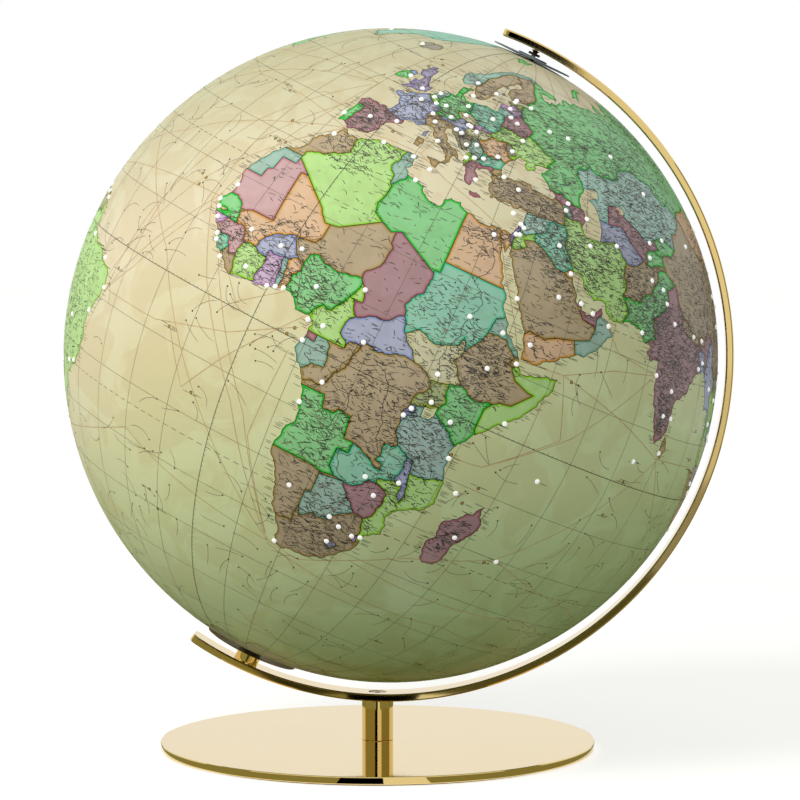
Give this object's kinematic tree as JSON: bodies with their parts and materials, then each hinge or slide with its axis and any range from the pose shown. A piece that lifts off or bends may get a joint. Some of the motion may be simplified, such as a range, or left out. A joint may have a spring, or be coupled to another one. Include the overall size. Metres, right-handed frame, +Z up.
{
  "type": "desk globe",
  "caption": "Political desk globe with a printed glossy ball that spins on a tilted axis, a flat bent brass arm, a short post, a round brass foot and an hour dial at the north pole.",
  "frame": {"origin": "centre of the foot pad's underside, on the post's axis", "axes": "+Z up along the post; the arm bulges and the north pole leans towards +X; the object is the same on both sides of the XZ plane"},
  "size_m": [0.3481, 0.34, 0.3771],
  "materials": {
    "felt": "dark pressed felt",
    "polished_brass": "mirror polished and lacquered",
    "turned_brass": "fine turned",
    "steel": "bright zinc",
    "printed_ball": "printed map under clear gloss",
    "plain_acrylic": "unprinted",
    "nylon": "moulded",
    "black_nylon": "moulded",
    "grey_plastic": "printed, slightly translucent",
    "crystal": "faceted clear stone"
  },
  "bodies": {
    "stand": {"foot_pad": "felt", "foot_plate": "polished_brass", "foot_screw": "steel", "post": "polished_brass", "arm_screw": "turned_brass", "meridian_arm": "polished_brass", "south_hub": "turned_brass", "south_dish": "polished_brass", "south_pivot": "steel", "south_screw": "turned_brass", "guide_pin": "turned_brass", "pin_nut": "turned_brass", "pin_collar": "black_nylon"},
    "ball": {"northern_half": "printed_ball", "southern_half": "printed_ball", "joint_band": "plain_acrylic", "north_bush": "nylon", "south_bush": "nylon", "thrust_washer": "steel"},
    "dial": {"hour_dial": "grey_plastic", "dial_washer": "grey_plastic"}
  },
  "joints": [
    {"name": "ball_spin", "type": "hinge", "parent": "stand", "child": "ball", "pos_m": [0.007, 0, 0.20705], "axis": [0.4289, 0, 0.9033], "continuous": true},
    {"name": "dial_turn", "type": "hinge", "parent": "ball", "child": "dial", "pos_m": [0.007, 0, 0.20705], "axis": [0.4289, 0, 0.9033], "continuous": true}
  ]
}
